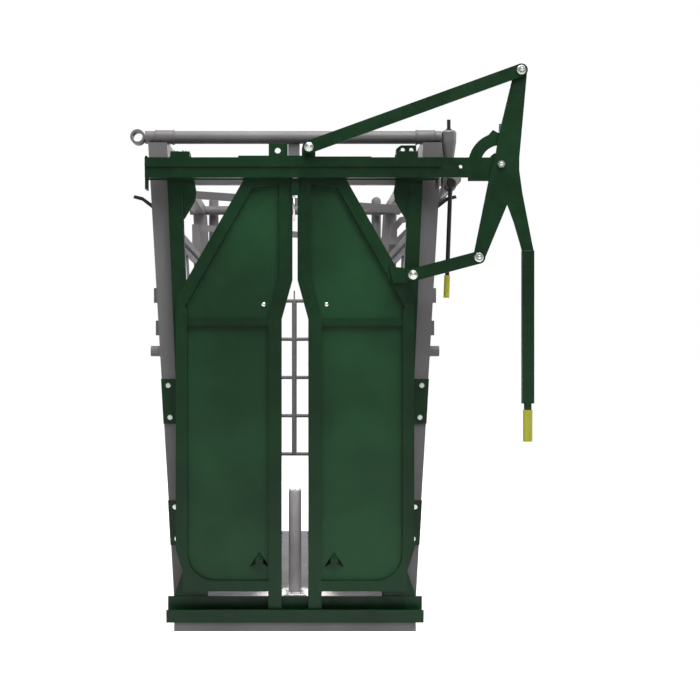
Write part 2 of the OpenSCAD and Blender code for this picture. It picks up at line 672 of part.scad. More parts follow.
// ---- Side frames, drawn upright at +X, then leaned over about their hinge ----
gate_axis = [side_tube / 2 + 16, mid_z + 14];
gate_pin_d = 14;
gate_y1 = -side_end - side_tube - 8;    // rear end of a drop gate
gate_hinge_ys = [150 - gate_y1, 0, gate_y1 - 150];
lug_out = 40;
lug_t = 9;
latch_y = side_end + side_tube / 2;
latch_z = side_h - side_tube - 60;
latch_pin_d = 14;
module leaned() { translate([hinge_x, 0, hinge_z]) rotate([0, lean_deg, 0]) children(); }
upright_inset = 790;                    // inner uprights, from the chute's ends
side_ys = [side_end, front + upright_inset, rear - upright_inset - side_tube, -side_end - side_tube];
module side_frame(link_dy) {
    t = side_tube / 2;
    color(grey) leaned() {
        difference() {
            union() {
                box([-t, side_end, 21], [t, -side_end, 21 + side_tube]);
                box([-t, side_end, side_h - side_tube], [t, -side_end, side_h]);
                box([-t, side_end, mid_z - side_tube], [t, -side_end, mid_z]);
                for (i = [0 : 3])
                    box([-t, side_ys[i], 21], [t, side_ys[i] + side_tube, i % 3 == 0 ? side_h : mid_z]);
                for (y = hinge_ys) bar_y(0, 0, y - 25, y + 25, 40);
                for (y = hinge_ys) box([-10, y - 25, 15], [10, y + 25, 22]);
                for (y = [-crank_y, crank_y], d = [link_dy - 14, link_dy + 12.5])
                    plate(y + d, y + d + 12) polygon([[-26, side_h - side_tube], [26, side_h - side_tube],
                        [17, side_pin_z + 17], [-17, side_pin_z + 17]]);
                for (y = gate_hinge_ys, d = [-lug_out, lug_out - lug_t]) plate(y + d, y + d + lug_t)
                    polygon([[t - 1, mid_z - side_tube + 4], [t - 1, mid_z], gate_axis + [-12, 4],
                        gate_axis + [-5, 11], gate_axis + [5, 11], gate_axis + [12, 4],
                            gate_axis + [12, -5]]);
                for (y = gate_hinge_ys)
                    bar_y(gate_axis[0], gate_axis[1], y - lug_out, y + lug_out, gate_pin_d - 2 * run);
                bar_x(t - 1, t + 16, latch_y, latch_z, latch_pin_d);
                bar_x(t + 11 + gap, t + 15, latch_y, latch_z, latch_pin_d + 10);
            }
            for (y = hinge_ys) bar_y(0, 0, y - 26, y + 26, 20);
            box([-t + wall, side_end - 1, 21 + wall], [t - wall, -side_end + 1, 21 + side_tube - wall]);
            box([-t + wall, side_end - 1, side_h - side_tube + wall], [t - wall, -side_end + 1,
                side_h - wall]);
            for (i = [0 : 3]) box([-t + wall, side_ys[i] + wall, 21 + wall],
                [t - wall, side_ys[i] + side_tube - wall, (i % 3 == 0 ? side_h : mid_z) - wall]);
        }
    }
}
sheet_t = 3;
module side_sheet() {
    t = side_tube / 2;
    z0 = 21 + side_tube + 2;
    z1 = mid_z - side_tube - 2;
    color(grey) leaned() for (i = [0 : 2]) {
        y0 = side_ys[i] + side_tube + 2;
        y1 = side_ys[i + 1] - 2;
        box([-t, y0, z0], [-t + sheet_t, y1, z1]);
        for (k = [1 : 4]) box([-t + sheet_t, y0 + 20, z0 + k * (z1 - z0) / 5 - 20], [-t + 15, y1 - 20,
            z0 + k * (z1 - z0) / 5 + 20]);
    }
}
gate_z1 = side_h - side_tube - 8;
module drop_gate() {
    y0 = -gate_y1;
    y1 = gate_y1;
    z0 = mid_z + 6;
    n = 5;
    color(grey) leaned() {
        for (i = [0 : n]) difference() {
            bar_y(0, z0 + 16 + i * (gate_z1 - z0 - 32) / n, y0, y1, bar_d);
            bar_y(0, z0 + 16 + i * (gate_z1 - z0 - 32) / n, y0 - 1, y1 + 1, bar_d - 8);
        }
        for (i = [0 : 4]) box([-6, y0 + i * (y1 - y0 - 30) / 4, z0], [6,
            y0 + 30 + i * (y1 - y0 - 30) / 4, gate_z1]);
        for (y = gate_hinge_ys) difference() {
            union() {
                bar_y(gate_axis[0], gate_axis[1], y - 30, y + 30, gate_pin_d + 10);
                box([4, y - 30, gate_axis[1] - 6], [gate_axis[0] - 2, y + 30, gate_axis[1] + 6]);
            }
            bar_y(gate_axis[0], gate_axis[1], y - 31, y + 31, gate_pin_d);
        }
    }
}
// Flat latch that turns down over the drop gate's end; its hook is the handle
module gate_latch() {
    x = side_tube / 2 + gap;
    y = latch_y;
    z = latch_z;
    color(black) leaned() difference() {
        union() {
            box([x, y - 12, z - 18], [x + 10, y + 12, z + 150]);
            plate(y, y + 8) polygon([[x + 2, z + 110], [x + 2, z + 132], [x + 64, z + 182],
                [x + 98, z + 192], [x + 104, z + 180], [x + 68, z + 168]]);
        }
        bar_x(x - 1, x + 11, y, z, latch_pin_d + 2 * run);
    }
}

// ---- Tailgate ----
leaf_y = rear + 30;
leaf_post_d = 56;
leaf_pin_d = 18;
leaf_hinge_x = -leaf_post_x + leaf_post_d / 2 + 18;
leaf_hinge_zs = [640, 1240];
leaf_x0 = leaf_hinge_x + 26;
leaf_x1 = leaf_post_x - leaf_post_d / 2 - 8;
leaf_tube = 32;
leaf_pitch = 226;                       // between the tailgate's bars
leaf_bar_low = leaf_top - 11 - 4 * leaf_pitch;  // axis of the lowest bar
leaf_low = leaf_bar_low - 18;
leaf_mid_x = -4;                        // the upright bar between the two stiles
leaf_latch_z = leaf_top - 11 - 2 * leaf_pitch + 60;
leaf_bolt_y = leaf_y + leaf_post_d / 2 + 14;
module tailgate_posts() {
    color(grey) {
        for (s = [-1, 1]) {
            bar_z(s * leaf_post_x, leaf_y, 8, rear_tube_z + 60, leaf_post_d);
            translate([s * leaf_post_x, leaf_y, rear_tube_z + 60]) intersection() {
                sphere(d = leaf_post_d, $fn = round_fn);
                box([-40, -40, 0], [40, 40, 40]);
            }
        }
        for (z = leaf_hinge_zs, d = [-38, 28]) difference() {
            translate([0, 0, z + d]) linear_extrude(10) union() {
                translate([leaf_hinge_x, leaf_y]) circle(d = 34, $fn = round_fn);
                translate([-leaf_post_x, leaf_y - 12]) square([leaf_hinge_x + leaf_post_x, 24]);
            }
            bar_z(leaf_hinge_x, leaf_y, z - 60, z + 60, leaf_pin_d);
        }
        difference() {
            box([leaf_post_x - 12, leaf_y + leaf_post_d / 2 - 4, leaf_latch_z - 28],
                [leaf_post_x + 12, leaf_y + leaf_post_d / 2 + 34, leaf_latch_z + 28]);
            bar_x(leaf_post_x - 20, leaf_post_x + 20, leaf_y + leaf_post_d / 2 + 14, leaf_latch_z, 21);
        }
    }
}
module tailgate() {
    t = leaf_tube / 2;
    color(grey) {
        for (x = [leaf_x0, leaf_x1 - leaf_tube]) box([x, leaf_y - t, leaf_low], [x + leaf_tube,
            leaf_y + t, leaf_top]);
        for (i = [0 : 4]) bar_x(leaf_x0 + leaf_tube - 1, leaf_x1 - leaf_tube + 1, leaf_y,
            leaf_bar_low + i * leaf_pitch, leaf_bar_d);
        bar_z(leaf_mid_x, leaf_y, leaf_bar_low, leaf_top - 8, 29);
        bar_z(leaf_mid_x, leaf_y, leaf_top - 9, leaf_top + 50, 8);
        for (z = leaf_hinge_zs) difference() {
            union() {
                bar_z(leaf_hinge_x, leaf_y, z - 27.7, z + 27.7, 34);
                box([leaf_hinge_x, leaf_y - 8, z - 27.7], [leaf_x0 + 1, leaf_y + 8, z + 27.7]);
            }
            bar_z(leaf_hinge_x, leaf_y, z - 30, z + 30, leaf_pin_d);
        }
        for (x = [leaf_x1 - 120, leaf_x1 - leaf_tube + 6]) difference() {
            box([x, leaf_y + (x > leaf_x1 - 100 ? t : 8), leaf_latch_z - 16], [x + 14,
                leaf_y + leaf_post_d / 2 + 28, leaf_latch_z + 16]);
            bar_x(x - 1, x + 15, leaf_y + leaf_post_d / 2 + 14, leaf_latch_z, 18);
        }
        box([leaf_x1 - 126, leaf_y - 8, leaf_latch_z - 30], [leaf_x1 - leaf_tube, leaf_y + 8,
            leaf_latch_z + 30]);
    }
}
module tailgate_latch() {
    color(zinc) {
        bar_x(leaf_x1 - 200, leaf_post_x - 16, leaf_bolt_y, leaf_latch_z, 18 - 2 * run);
        bar_z(leaf_x1 - 190, leaf_bolt_y, leaf_latch_z - 60, leaf_latch_z, 14);
    }
}
module tailgate_sill() {
    x = leaf_post_x + 20;
    color(grey) {
        box([-x, rear, 0], [x, leaf_y + 30, 8]);
        box([-leaf_post_x + 60, rear, 8], [leaf_post_x - 60, rear + 8, 60]);
    }
}

// ---- Brisket post ----
brisket_y = front + 250;
module brisket_post() {
    color(grey) {
        difference() {
            box([-48, brisket_y - 48, deck_z], [48, brisket_y + 48, deck_z + 8]);
            for (x = [-30, 30], y = [-30, 30]) bar_z(x, brisket_y + y, deck_z - 1, deck_z + 9, 10);
        }
        bar_z(0, brisket_y, deck_z + 8, 520, 53);
        translate([0, brisket_y, 520])
            intersection() { sphere(d = 53, $fn = round_fn); box([-40, -40, 0], [40, 40, 40]); }
    }
}
module brisket_bolts() {
    color(zinc) for (x = [-30, 30], y = [-30, 30]) {
        bar_z(x, brisket_y + y, rail_h - 20, deck_z + 8, 9.8);
        translate([x, brisket_y + y, deck_z + 8]) cylinder(r = 9, h = 7, $fn = 6);
    }
}

base_frame();
floor_deck();
mirror([1, 0, 0]) front_post();  // front_post_left
front_post();  // front_post_right
mirror([1, 0, 0]) rear_post();  // rear_post_left
rear_post();  // rear_post_right
top_tube();
ring_sleeve();
drop_sleeve();
drop_pin();
mirror([1, 0, 0]) top_rail();  // top_rail_left
top_rail();  // top_rail_right
rear_cross_tube();
front_cross_tube();
tailgate_posts();
tailgate_sill();
brisket_post();
brisket_bolts();
gate_beam();
gate_rear_rail();
lever_mount();
mirror([1, 0, 0]) gate_post();  // gate_post_left
gate_post();  // gate_post_right
foot_trough();
side_brackets();
bracket_bolts();
beam_bridges();
shaft_bearings();
lever_pivot_bolt();
left_door_frame();
left_door_sheet();
left_door_bar();
left_door_shoes();
right_door_frame();
right_door_sheet();
right_door_bar();
right_door_shoes();
lever_plate();
hand_lever();
lever_grip();
lock_keeper();
link_bolts();
long_link();
short_link();
squeeze_shaft();
squeeze_handle();
squeeze_grip();
cross_links();
push_links();
mirror([1, 0, 0]) side_frame(cross_dy);  // side_frame_left
side_frame(push_dy);  // side_frame_right
mirror([1, 0, 0]) side_sheet();  // side_sheet_left
side_sheet();  // side_sheet_right
mirror([1, 0, 0]) drop_gate();  // drop_gate_left
drop_gate();  // drop_gate_right
mirror([1, 0, 0]) gate_latch();  // gate_latch_left
gate_latch();  // gate_latch_right
tailgate();
hinge_pins();
tailgate_latch();
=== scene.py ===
import json
import math

import bmesh
import bpy
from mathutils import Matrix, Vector


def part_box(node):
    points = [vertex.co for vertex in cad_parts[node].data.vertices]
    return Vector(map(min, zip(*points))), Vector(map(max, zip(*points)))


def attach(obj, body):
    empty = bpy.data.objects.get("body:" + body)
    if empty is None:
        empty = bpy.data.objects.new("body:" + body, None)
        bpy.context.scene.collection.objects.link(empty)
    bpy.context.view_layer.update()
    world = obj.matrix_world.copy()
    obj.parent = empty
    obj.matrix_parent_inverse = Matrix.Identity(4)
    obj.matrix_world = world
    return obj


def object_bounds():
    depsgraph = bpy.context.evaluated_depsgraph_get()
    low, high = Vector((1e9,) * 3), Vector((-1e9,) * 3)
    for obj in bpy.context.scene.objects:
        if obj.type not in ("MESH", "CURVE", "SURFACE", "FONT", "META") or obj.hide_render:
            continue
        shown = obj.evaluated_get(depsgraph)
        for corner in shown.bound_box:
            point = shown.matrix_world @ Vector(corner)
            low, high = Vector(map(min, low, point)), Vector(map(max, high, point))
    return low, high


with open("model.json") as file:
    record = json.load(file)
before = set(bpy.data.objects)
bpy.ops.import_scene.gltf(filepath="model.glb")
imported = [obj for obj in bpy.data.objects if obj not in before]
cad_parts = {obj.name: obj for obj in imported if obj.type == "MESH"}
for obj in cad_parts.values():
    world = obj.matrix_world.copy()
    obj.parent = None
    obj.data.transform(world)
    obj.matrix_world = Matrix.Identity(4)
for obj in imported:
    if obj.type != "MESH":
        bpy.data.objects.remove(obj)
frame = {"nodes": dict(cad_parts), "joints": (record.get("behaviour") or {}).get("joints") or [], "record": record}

MM = 0.001
box_at_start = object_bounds()
X, Y, Z = Vector((1, 0, 0)), Vector((0, 1, 0)), Vector((0, 0, 1))
LEFT, RIGHT = -1, 1

# Driving sizes of the slanted posts, as in the part's source
POST_FOOT, POST_LEAN, POST_W = 0.445, 0.0572, 0.076
GATE_POST_FOOT, GATE_POST_LEAN, GATE_POST_W = 0.409, 0.0418, 0.057


# ---- Finishes ----
def hex_colour(text, alpha=1.0):
    """An sRGB hex value as the linear colour that shaders take."""
    channels = [int(text[i:i + 2], 16) / 255 for i in (1, 3, 5)]
    return [c / 12.92 if c <= 0.04045 else ((c + 0.055) / 1.055) ** 2.4 for c in channels] + [alpha]


def per_mm(size):
    """The scale of a pattern whose features are that many millimetres across."""
    return 1 / (size * MM)


def add(tree, kind, settings=(), inputs=()):
    """Adds a node with its settings, and fills each input with a value or a link."""
    node = tree.nodes.new("ShaderNode" + kind)
    for name, value in dict(settings).items():
        setattr(node, name, value)
    for name, value in dict(inputs).items():
        if isinstance(value, bpy.types.NodeSocket):
            tree.links.new(value, node.inputs[name])
        else:
            node.inputs[name].default_value = value
    return node


# Inputs and output of a Mix node set to colours
FACTOR, COLOUR_A, COLOUR_B, COLOUR_OUT = 0, 6, 7, 2


def new_material(name):
    """An empty material, its tree, its output and the object's own coordinates."""
    material = bpy.data.materials.new(name)
    material.use_nodes = True
    tree = material.node_tree
    tree.nodes.clear()
    output = add(tree, "OutputMaterial")
    place = add(tree, "TexCoord").outputs["Object"]
    return material, tree, output, place


def enamel(name, body, shade, dust_and_shade_tone, roughness, peel, gloss):
    """Sprayed enamel: colour that drifts over the sheet, orange peel, and a dust tone that thins upwards, partly
    dust and partly painted shade towards the foot.
    """
    material, tree, output, place = new_material(name)
    drift = add(tree, "TexNoise", inputs={"Vector": place, "Scale": per_mm(420), "Detail": 2.0})
    drift_range = add(tree, "MapRange", inputs={
        "Value": drift.outputs["Fac"], "From Min": 0.36, "From Max": 0.64})
    colour = add(tree, "Mix", {"data_type": "RGBA"}, {
        FACTOR: drift_range.outputs["Result"], COLOUR_A: hex_colour(shade), COLOUR_B: hex_colour(body)})
    height = add(tree, "SeparateXYZ", inputs={"Vector": place})
    # Dust tone mixed in towards the foot and thinning upwards: partly dust, partly painted shade on the lower part
    low = add(tree, "MapRange", inputs={
        "Value": height.outputs["Z"], "From Min": 0.02, "From Max": 0.75, "To Min": 0.08, "To Max": 0.02})
    specks = add(tree, "TexNoise", inputs={"Vector": place, "Scale": per_mm(38), "Detail": 5.0})
    dust_and_shade_amount = add(tree, "Math", {"operation": "MULTIPLY"}, {0: low.outputs["Result"], 1: specks.outputs["Fac"]})
    dust_and_shade_mixed = add(tree, "Mix", {"data_type": "RGBA"}, {
        FACTOR: dust_and_shade_amount.outputs["Value"], COLOUR_A: colour.outputs[COLOUR_OUT], COLOUR_B: hex_colour(dust_and_shade_tone)})
    rough = add(tree, "MapRange", inputs={
        "Value": specks.outputs["Fac"], "From Min": 0.3, "From Max": 0.7,
        "To Min": roughness - 0.05, "To Max": roughness + 0.09})
    # Real orange peel is about 1.5 mm across; it is drawn at 5 mm so that it shows
    peel_noise = add(tree, "TexNoise", inputs={"Vector": place, "Scale": per_mm(5), "Detail": 1.0})
    wave = add(tree, "TexNoise", inputs={"Vector": place, "Scale": per_mm(170), "Detail": 1.0})
    wavy = add(tree, "Bump", inputs={"Height": wave.outputs["Fac"], "Strength": 0.35, "Distance": 9 * MM})
    peeled = add(tree, "Bump", inputs={
        "Height": peel_noise.outputs["Fac"], "Strength": peel, "Distance": 0.25 * MM,
        "Normal": wavy.outputs["Normal"]})
    shader = add(tree, "BsdfPrincipled", inputs={
        "Base Color": dust_and_shade_mixed.outputs[COLOUR_OUT], "Roughness": rough.outputs["Result"],
        "Normal": peeled.outputs["Normal"], "IOR": 1.5, "Specular IOR Level": gloss})
    tree.links.new(shader.outputs["BSDF"], output.inputs["Surface"])
    return material


def zinc_plate(name, pale, deep):
    """Bright zinc on turned steel: a metal with small clouds of duller plating."""
    material, tree, output, place = new_material(name)
    cloud = add(tree, "TexNoise", inputs={"Vector": place, "Scale": per_mm(9), "Detail": 4.0})
    colour = add(tree, "Mix", {"data_type": "RGBA"}, {
        FACTOR: cloud.outputs["Fac"], COLOUR_A: hex_colour(deep), COLOUR_B: hex_colour(pale)})
    rough = add(tree, "MapRange", inputs={"Value": cloud.outputs["Fac"], "To Min": 0.18, "To Max": 0.42})
    shader = add(tree, "BsdfPrincipled", inputs={
        "Base Color": colour.outputs[COLOUR_OUT], "Roughness": rough.outputs["Result"], "Metallic": 1.0})
    tree.links.new(shader.outputs["BSDF"], output.inputs["Surface"])
    return material


def plastic(name, body, shade, grain_mm, roughness, ior):
    """Moulded or dipped plastic: an even colour with a fine pebbled grain."""
    material, tree, output, place = new_material(name)
    blot = add(tree, "TexNoise", inputs={"Vector": place, "Scale": per_mm(30), "Detail": 3.0})
    colour = add(tree, "Mix", {"data_type": "RGBA"}, {
        FACTOR: blot.outputs["Fac"], COLOUR_A: hex_colour(shade), COLOUR_B: hex_colour(body)})
    grain = add(tree, "TexNoise", inputs={"Vector": place, "Scale": per_mm(grain_mm), "Detail": 2.0})
    pebble = add(tree, "Bump", inputs={
        "Height": grain.outputs["Fac"], "Strength": 0.4, "Distance": 0.3 * MM})
    shader = add(tree, "BsdfPrincipled", inputs={
        "Base Color": colour.outputs[COLOUR_OUT], "Roughness": roughness, "IOR": ior,
        "Normal": pebble.outputs["Normal"]})
    tree.links.new(shader.outputs["BSDF"], output.inputs["Surface"])
    return material


FINISHES = {
    # Alkyd gloss enamel sprayed on mild steel: deep green with a soft wet highlight along each bend
    "green_enamel": enamel("gloss green enamel, sprayed on steel", "#153C20", "#0E2C16", "#26362A",
                           0.34, 0.30, 0.22),
    # Satin enamel over rolled tube: a warm grey whose highlights are broad and low
    "grey_enamel": enamel("satin grey enamel, sprayed on rolled tube", "#858283", "#737071", "#6A665C",
                          0.48, 0.35, 0.5),
    # Bright zinc plate on cold-formed bolts: small pale glints
    "zinc": zinc_plate("bright zinc plate on turned steel", "#E6E9E2", "#B4B8B0"),
    # Black paint on drawn rod: nearly black, with a thin edge of light
    "black_parts": enamel("black paint on drawn rod", "#191B19", "#101210", "#2E2D2A", 0.38, 0.20, 0.5),
    # Vinyl dipped over the bar ends: flat bright lime with a faint pebble
    "lime_grip": plastic("lime vinyl, dip-moulded", "#D6D742", "#C2C435", 2.5, 0.42, 1.53),
    # UHMW polyethylene sawn from block: waxy black
    "shoe_plastic": plastic("black polyethylene, sawn from block", "#1C1E1D", "#121413", 4, 0.55, 1.51),
}
# The same enamel on the doors' wide pressed sheets, painted a little paler: painted light on the flat sheets
LIT_SHEET_GREEN = enamel("gloss green enamel, painted paler on pressed sheet", "#255232", "#173C22", "#2C3E2C",
                     0.36, 0.35, 0.22)
LIT_SHEET_NODES = ("left_door_sheet", "right_door_sheet")
slot_of = {part["node"]: part["material_slot"] for part in frame["record"]["subparts"]}


# ---- CAD parts: finish and rolled edges ----
EDGE_ROUND = {  # radius of the outer edges, in mm; formed tube is rounder than sheared plate
    "front_post_left": 6, "front_post_right": 6, "rear_post_left": 6, "rear_post_right": 6,
    "gate_post_left": 5, "gate_post_right": 5, "left_door_frame": 5, "right_door_frame": 5,
    "hand_lever": 5, "gate_beam": 3, "foot_trough": 2.5, "side_frame_left": 4, "side_frame_right": 4,
    "top_rail_left": 5, "top_rail_right": 5, "tailgate": 3, "base_frame": 4, "brisket_post": 3,
}
SHEARED_EDGE = 1.2
for name, node in frame["nodes"].items():
    node.data.materials.clear()
    # The door sheets wear the paler copy of the enamel, which is painted light
    node.data.materials.append(LIT_SHEET_GREEN if name in LIT_SHEET_NODES else FINISHES[slot_of[name]])
    edge = node.modifiers.new("rounded edges", "BEVEL")
    edge.width = EDGE_ROUND.get(name, SHEARED_EDGE) * MM
    edge.segments = 3
    edge.limit_method = "ANGLE"
    edge.angle_limit = math.radians(40)
    edge.use_clamp_overlap = True
    edge.harden_normals = True


# ---- Making pieces ----
def piece(name, mesh, body, slot, smooth=True):
    """A new mesh object that wears a slot's finish and rides on a body."""
    made = bpy.data.objects.new(name, mesh)
    bpy.context.scene.collection.objects.link(made)
    mesh.materials.append(FINISHES[slot])
    if smooth:
        mesh.shade_smooth()
    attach(made, body)
    return made


def ring_mesh(name, rings, closed_ends=True, loop=False):
    """A skin over rings of points, each ring with the same count."""
    form = bmesh.new()
    rows = [[form.verts.new(p) for p in ring] for ring in rings]
    pairs = list(zip(rows, rows[1:] + rows[:1])) if loop else list(zip(rows, rows[1:]))
    for row, following in pairs:
        count = len(row)
        for i in range(count):
            j = (i + 1) % count
            form.faces.new((row[i], row[j], following[j], following[i]))
    if closed_ends and not loop:
        form.faces.new(list(reversed(rows[0])))
        form.faces.new(rows[-1])
    bmesh.ops.recalc_face_normals(form, faces=form.faces)
    mesh = bpy.data.meshes.new(name)
    form.to_mesh(mesh)
    form.free()
    return mesh


def across(direction):
    """Two directions square to one another and to the given one."""
    first = direction.cross(Z if abs(direction.z) < 0.9 else X).normalized()
    return first, direction.cross(first).normalized()


def turned_rings(base, axis, profile, sides=28):
    """Rings of a turned form: profile is (height, radius) pairs along the axis."""
    u, v = across(axis)
    return [[base + axis * h + (u * math.cos(a) + v * math.sin(a)) * r
             for a in (2 * math.pi * i / sides for i in range(sides))] for h, r in profile]


def turned(name, base, axis, profile, body, slot, sides=28):
    """A turned piece, such as a washer, a bolt's end or a cap; sizes in mm."""
    scaled = [(h * MM, r * MM) for h, r in profile]
    return piece(name, ring_mesh(name, turned_rings(base, axis, scaled, sides)), body, slot)


BEAD_R = 3.4 * MM         # leg of a 5 mm fillet weld
BEAD_STEP = 1.6 * MM
RIPPLE_PITCH = 5.0 * MM   # real ripples are about 2 mm apart; drawn coarser so that they show


def bead_radius(run):
    """A bead's radius along its run: rounded ripples, one behind another."""
    return BEAD_R * (1 + 0.16 * abs(math.sin(math.pi * run / RIPPLE_PITCH)))


def straight_bead_rings(start, end, sides=8):
    """Rings of a weld bead from one point to another, tapered at its ends."""
    length = (end - start).length
    axis = (end - start).normalized()
    u, v = across(axis)
    count = max(3, int(length / BEAD_STEP))
    rings = []
    for k in range(count + 1):
        run = length * k / count
        taper = min(1.0, 0.35 + min(run, length - run) / (3 * BEAD_R))
        r = bead_radius(run) * taper
        centre = start + axis * run
        rings.append([centre + (u * math.cos(a) + v * math.sin(a)) * r
                      for a in (2 * math.pi * i / sides for i in range(sides))])
    return rings


def weld_lines(name, lines, body, slot):
    """One piece made of straight weld beads."""
    form = bmesh.new()
    for start, end in lines:
        part = ring_mesh(name, straight_bead_rings(Vector(start), Vector(end)))
        form.from_mesh(part)
        bpy.data.meshes.remove(part)
    mesh = bpy.data.meshes.new(name)
    form.to_mesh(mesh)
    form.free()
    return piece(name, mesh, body, slot)


def weld_circles(name, circles, body, slot, sides=8):
    """One piece made of beads that run round tubes: each is (centre, axis, radius)."""
    form = bmesh.new()
    for centre, axis, radius in circles:
        u, v = across(axis)
        count = max(24, int(2 * math.pi * radius / BEAD_STEP))
        rings = []
        for k in range(count):
            turn = 2 * math.pi * k / count
            out = u * math.cos(turn) + v * math.sin(turn)
            r = bead_radius(radius * turn)
            rings.append([Vector(centre) + out * (radius + r * math.cos(a)) + axis * r * math.sin(a)
                          for a in (2 * math.pi * i / sides for i in range(sides))])
        part = ring_mesh(name, rings, loop=True)
        form.from_mesh(part)
        bpy.data.meshes.remove(part)
    mesh = bpy.data.meshes.new(name)
    form.to_mesh(mesh)
    form.free()
    return piece(name, mesh, body, slot)


def joint_place(name):
    """Where a joint's axis stands."""
    return Vector(next(j["pos_m"] for j in frame["joints"] if j["name"] == name))


def post_x(z):
    return POST_FOOT + POST_LEAN * z


def gate_post_x(z):
    return GATE_POST_FOOT + GATE_POST_LEAN * z


# ---- Pin bolts of the hand lever and its links ----
link_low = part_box("long_link")[0]
short_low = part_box("short_link")[0]
bolts_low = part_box("link_bolts")[0]
LINK_END_R = 25 * MM
tab_pin = Vector((link_low.x + LINK_END_R, link_low.y, link_low.z + LINK_END_R))
shoulder_pin = Vector((short_low.x + LINK_END_R, short_low.y, short_low.z + LINK_END_R))
pivot = joint_place("lever_swing")
top_pin = joint_place("long_link_pin")
low_pin = joint_place("short_link_pin")


def thread_profile(length, radius, pitch=2.0):
    """A bolt's end: rings of thread and a chamfered tip."""
    profile = [(-1.0, radius)]
    turns = int(length / pitch)
    for k in range(turns):
        profile += [(k * pitch, radius - 0.9), (k * pitch + pitch / 2, radius)]
    return profile + [(length, radius - 0.9), (length + 1.2, radius - 2.2), (length + 1.3, 0.4)]


WASHER = [(0, 8.3), (0, 17.5), (0.6, 18.2), (2.2, 18.2), (2.6, 17.6), (2.6, 8.3)]
for label, pin, front_y, body in (
        ("tab", tab_pin, link_low.y, "long_link"),
        ("shoulder", shoulder_pin, short_low.y, "short_link"),
        ("top", top_pin, bolts_low.y, "lever"),
        ("low", low_pin, bolts_low.y, "lever"),
        ("pivot", pivot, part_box("lever_pivot_bolt")[0].y, "frame")):
    turned(f"{label}_pin_thread", Vector((pin.x, front_y, pin.z)), -Y, thread_profile(6, 7.6), body, "zinc")
HEX_H = 8 * MM
for label, pin, front_y, body in (
        ("tab", tab_pin, link_low.y, "long_link"), ("shoulder", shoulder_pin, short_low.y, "short_link"),
        ("top", top_pin, bolts_low.y, "lever"), ("low", low_pin, bolts_low.y, "lever")):
    turned(f"{label}_pin_washer", Vector((pin.x, front_y + HEX_H + 2.4 * MM, pin.z)), -Y, WASHER, body,
           "zinc")

NUT_R, NUT_H = 15.6, 8.6
for label, pin, front_y, body in (("tab", tab_pin, link_low.y, "long_link"),
                                  ("shoulder", shoulder_pin, short_low.y, "short_link")):
    nut = [(-0.3, 0.4), (-0.3, NUT_R), (NUT_H - 1.2, NUT_R), (NUT_H, NUT_R - 1.6), (NUT_H, 0.4)]
    turned(f"{label}_pin_nut", Vector((pin.x, front_y + HEX_H, pin.z)), -Y, nut, body, "zinc", sides=6)
bridge_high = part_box("beam_bridges")[1]
BRIDGE_BOLT = [(0, 0.4), (0, 10.5), (8.4, 10.5), (9.4, 9.2), (9.4, 0.4)]
BRIDGE_TOP = 44 * MM                # the ear's top, above the underside of the bridge's plate
BRIDGE_PLATE = 8 * MM
bridge_y = (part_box("gate_beam")[0].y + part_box("gate_rear_rail")[1].y) / 2
for k, x in enumerate((-474, -440, 424, 462)):
    turned(f"bridge_bolt_{k + 1}", Vector((x * MM, bridge_y, bridge_high.z - BRIDGE_TOP + BRIDGE_PLATE)), Z,
           BRIDGE_BOLT, "frame", "zinc", sides=6)

# ---- Pressed louvres and button bolts on the doors ----
door_low, door_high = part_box("right_door_frame")
sheet_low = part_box("right_door_sheet")[0]
sheet_y = sheet_low.y
DOORS = ((LEFT, "left"), (RIGHT, "right"))
LOUVRE_HALF, LOUVRE_H, LOUVRE_NOTCH, LOUVRE_OUT = 42 * MM, 64 * MM, 22 * MM, 24 * MM
LOUVRE_IN = {"left": 142 * MM, "right": 156 * MM}   # from the gate's centre line
LOUVRE_FOOT = 92 * MM      # above the doors' lower edge
BUTTON_IN, BUTTON_UP = 125 * MM, 1295 * MM
DOOR_FOOT_RAIL = 41 * MM   # height of the doors' bottom member
BUTTON = [(-1, 9.5), (0.0, 9.8), (1.6, 9.4), (3.4, 7.6), (4.6, 4.8), (5.0, 3.0), (3.2, 2.9), (3.1, 0.3)]


def louvre(side, label):
    """An arrowhead pressed out of the door's sheet, to let it drain."""
    middle = side * LOUVRE_IN[label]
    foot = sheet_low.z - DOOR_FOOT_RAIL + LOUVRE_FOOT
    outline = [(0, LOUVRE_H), (LOUVRE_HALF, 0), (0, LOUVRE_NOTCH), (-LOUVRE_HALF, 0)]
    form = bmesh.new()
    rim = [form.verts.new((middle + x, sheet_y + 0.2 * MM, foot + z)) for x, z in outline]
    ridge = form.verts.new((middle, sheet_y - LOUVRE_OUT, foot + LOUVRE_NOTCH + 3 * MM))
    for i in range(4):
        form.faces.new((rim[i], rim[(i + 1) % 4], ridge))
    form.faces.new(rim)
    bmesh.ops.recalc_face_normals(form, faces=form.faces)
    bmesh.ops.bevel(form, geom=form.edges[:], offset=1.6 * MM, segments=3, affect="EDGES")
    mesh = bpy.data.meshes.new(f"{label}_door_louvre")
    form.to_mesh(mesh)
    form.free()
    piece(mesh.name, mesh, f"{label}_door", "green_enamel")


for side, label in DOORS:
    louvre(side, label)
    turned(f"{label}_door_button_bolt", Vector((side * BUTTON_IN, sheet_y, BUTTON_UP)), -Y, BUTTON,
           f"{label}_door", "zinc")

# ---- Cover strip and latch pin over the slot between the doors ----
strip_front = door_low.y - 4 * MM
STRIP = [(-14, 1726), (14, 1726), (14, 1790), (-14, 1790)]
strip_rings = [[Vector((x * MM, y, z * MM)) for x, z in STRIP]
               for y in (strip_front, door_low.y - 0.4 * MM)]
piece("slot_cover_strip", ring_mesh("slot_cover_strip", strip_rings), "left_door", "green_enamel",
      smooth=False)
turned("slot_pin", Vector((-4 * MM, strip_front - 1 * MM, 1625 * MM)), Z,
       [(0, 0.4), (0, 4.2), (101, 4.2), (101, 0.4)], "left_door", "zinc", sides=16)

